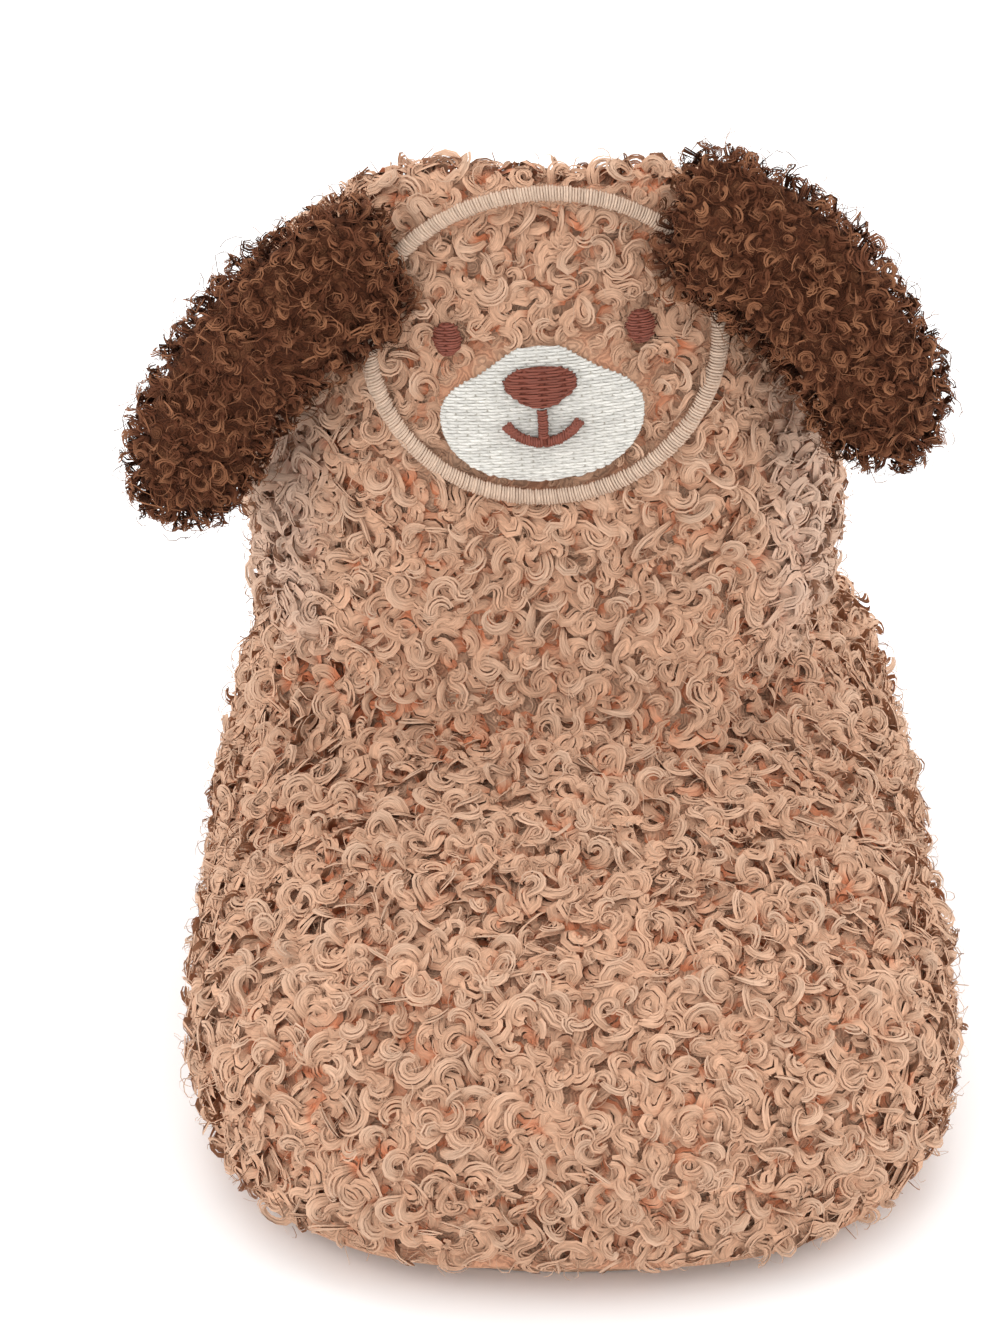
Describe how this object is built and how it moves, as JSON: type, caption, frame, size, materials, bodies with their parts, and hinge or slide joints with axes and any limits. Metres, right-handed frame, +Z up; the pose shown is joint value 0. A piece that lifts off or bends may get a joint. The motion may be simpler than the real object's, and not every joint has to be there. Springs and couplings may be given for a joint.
{
  "type": "animal slipper",
  "caption": "Baby's high bootie slipper in curly fleece with a dog's face stitched on the shaft, two floppy ears and a soft fabric sole.",
  "frame": {"origin": "on the floor, under the middle of the sole", "axes": "+Z up, toe towards -Y, heel towards +Y, +X to the right of someone facing the dog's face"},
  "size_m": [0.0878, 0.131, 0.1005],
  "materials": {
    "tan_fleece": "curly faux lambswool pile, matt",
    "brown_fleece": "curly faux lambswool pile, matt",
    "sole_fabric": "brushed soft fabric, matt",
    "insole_fabric": "short plain fleece, matt",
    "taupe_thread": "satin embroidery thread",
    "white_thread": "satin embroidery thread",
    "brown_thread": "satin embroidery thread"
  },
  "bodies": {
    "root": {"outsole": "sole_fabric", "insole": "insole_fabric", "upper": "tan_fleece", "ear_left": "brown_fleece", "ear_right": "brown_fleece", "face_ring": "taupe_thread", "muzzle": "white_thread", "nose": "brown_thread", "mouth": "brown_thread", "eye_left": "brown_thread", "eye_right": "brown_thread"}
  },
  "joints": []
}
